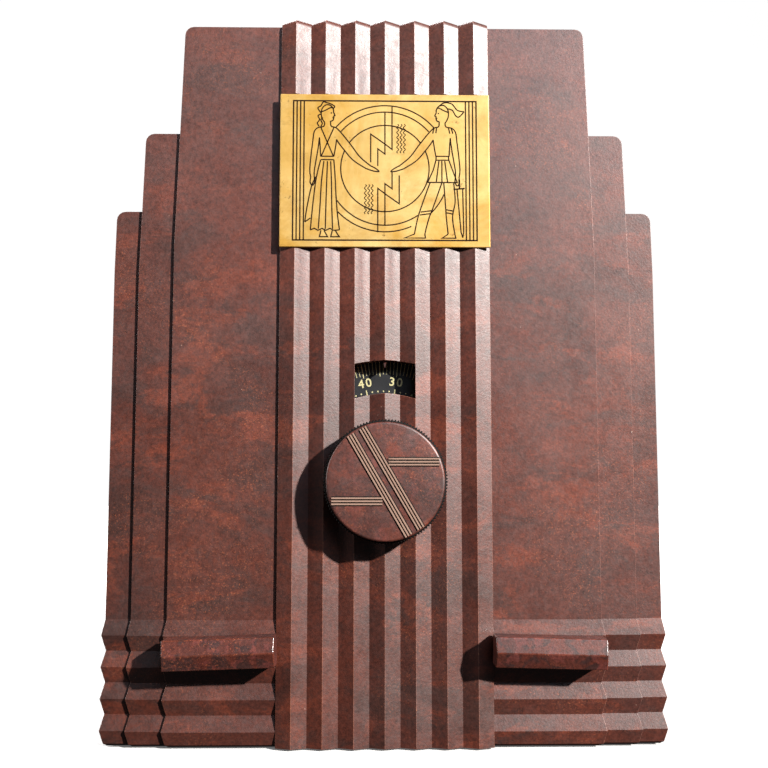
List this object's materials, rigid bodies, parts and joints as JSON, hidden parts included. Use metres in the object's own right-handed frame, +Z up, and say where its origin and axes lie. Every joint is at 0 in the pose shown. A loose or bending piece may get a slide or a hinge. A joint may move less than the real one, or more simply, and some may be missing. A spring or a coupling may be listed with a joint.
{
  "type": "table radio",
  "caption": "Art deco mains table radio: stepped bakelite cabinet with a fluted centre band, engraved brass plate, dial window, round tuning knob and bar knobs.",
  "frame": {"origin": "on the table, under the centre of the bounding box", "axes": "+Z up, the front with its knobs faces -Y, +X to the right seen from the front"},
  "size_m": [0.2252, 0.1906, 0.2975],
  "materials": {
    "bakelite": "moulded, mottled red-brown, glossy with light wear",
    "brass": "satin, engraved lines filled dark",
    "dial_black": "black enamel with white divisions",
    "steel": "turned or pressed, dull",
    "plated_steel": "cadmium plated",
    "aluminium": "spun or pressed",
    "valve_glass": "clear",
    "valve_base": "dark moulded",
    "black_iron": "black lacquer",
    "paper_cone": "matte",
    "cloth": "coarse weave",
    "felt": "soft",
    "fibre": "pressed board",
    "rubber": "matte"
  },
  "bodies": {
    "cabinet": {"cabinet_shell": "bakelite", "escutcheon_plate": "brass", "felt_foot_1": "felt", "felt_foot_2": "felt", "felt_foot_3": "felt", "felt_foot_4": "felt", "back_cover": "fibre", "back_cover_screw_1": "plated_steel", "back_cover_screw_2": "plated_steel", "back_cover_screw_3": "plated_steel", "back_cover_screw_4": "plated_steel", "grille_cloth": "cloth", "cord_grommet": "rubber", "volume_control": "plated_steel", "tone_control": "plated_steel", "condenser_frame": "plated_steel", "condenser_stator": "aluminium", "condenser_bracket": "steel", "dial_lamp": "valve_glass", "dial_lamp_bracket": "brass", "chassis_pan": "plated_steel", "chassis_bolt_1": "plated_steel", "chassis_bolt_2": "plated_steel", "mixer_socket": "fibre", "mixer_base": "valve_base", "mixer_glass": "valve_glass", "mixer_screen": "aluminium", "if_amplifier_socket": "fibre", "if_amplifier_base": "valve_base", "if_amplifier_glass": "valve_glass", "if_amplifier_screen": "aluminium", "detector_socket": "fibre", "detector_base": "valve_base", "detector_glass": "valve_glass", "output_socket": "fibre", "output_base": "valve_base", "output_glass": "valve_glass", "rectifier_socket": "fibre", "rectifier_base": "valve_base", "rectifier_glass": "valve_glass", "if_transformer_1": "aluminium", "if_transformer_2": "aluminium", "mains_transformer_core": "black_iron", "mains_transformer_front_bell": "black_iron", "mains_transformer_rear_bell": "black_iron", "smoothing_capacitor": "aluminium", "aerial_coil": "fibre", "speaker_basket": "steel", "speaker_cone": "paper_cone", "speaker_field_pot": "black_iron", "output_transformer": "black_iron"},
    "tuning": {"tuning_knob": "bakelite", "knob_set_screw": "plated_steel", "tuning_shaft": "steel", "dial_disc": "dial_black", "condenser_rotor": "aluminium"},
    "volume": {"volume_bar_knob": "bakelite", "volume_shaft": "steel"},
    "tone": {"tone_bar_knob": "bakelite", "tone_shaft": "steel"}
  },
  "joints": [
    {"name": "tuning_turn", "type": "hinge", "parent": "cabinet", "child": "tuning", "pos_m": [0, 0, 0.1048], "axis": [0, 1, 0], "range_deg": [-59.4, 120.6]},
    {"name": "volume_turn", "type": "hinge", "parent": "cabinet", "child": "volume", "pos_m": [-0.0642, -0.08, 0.0388], "axis": [0, 1, 0], "range_deg": [0, 280]},
    {"name": "tone_turn", "type": "hinge", "parent": "cabinet", "child": "tone", "pos_m": [0.0642, -0.08, 0.0388], "axis": [0, 1, 0], "range_deg": [-280, 0]}
  ]
}
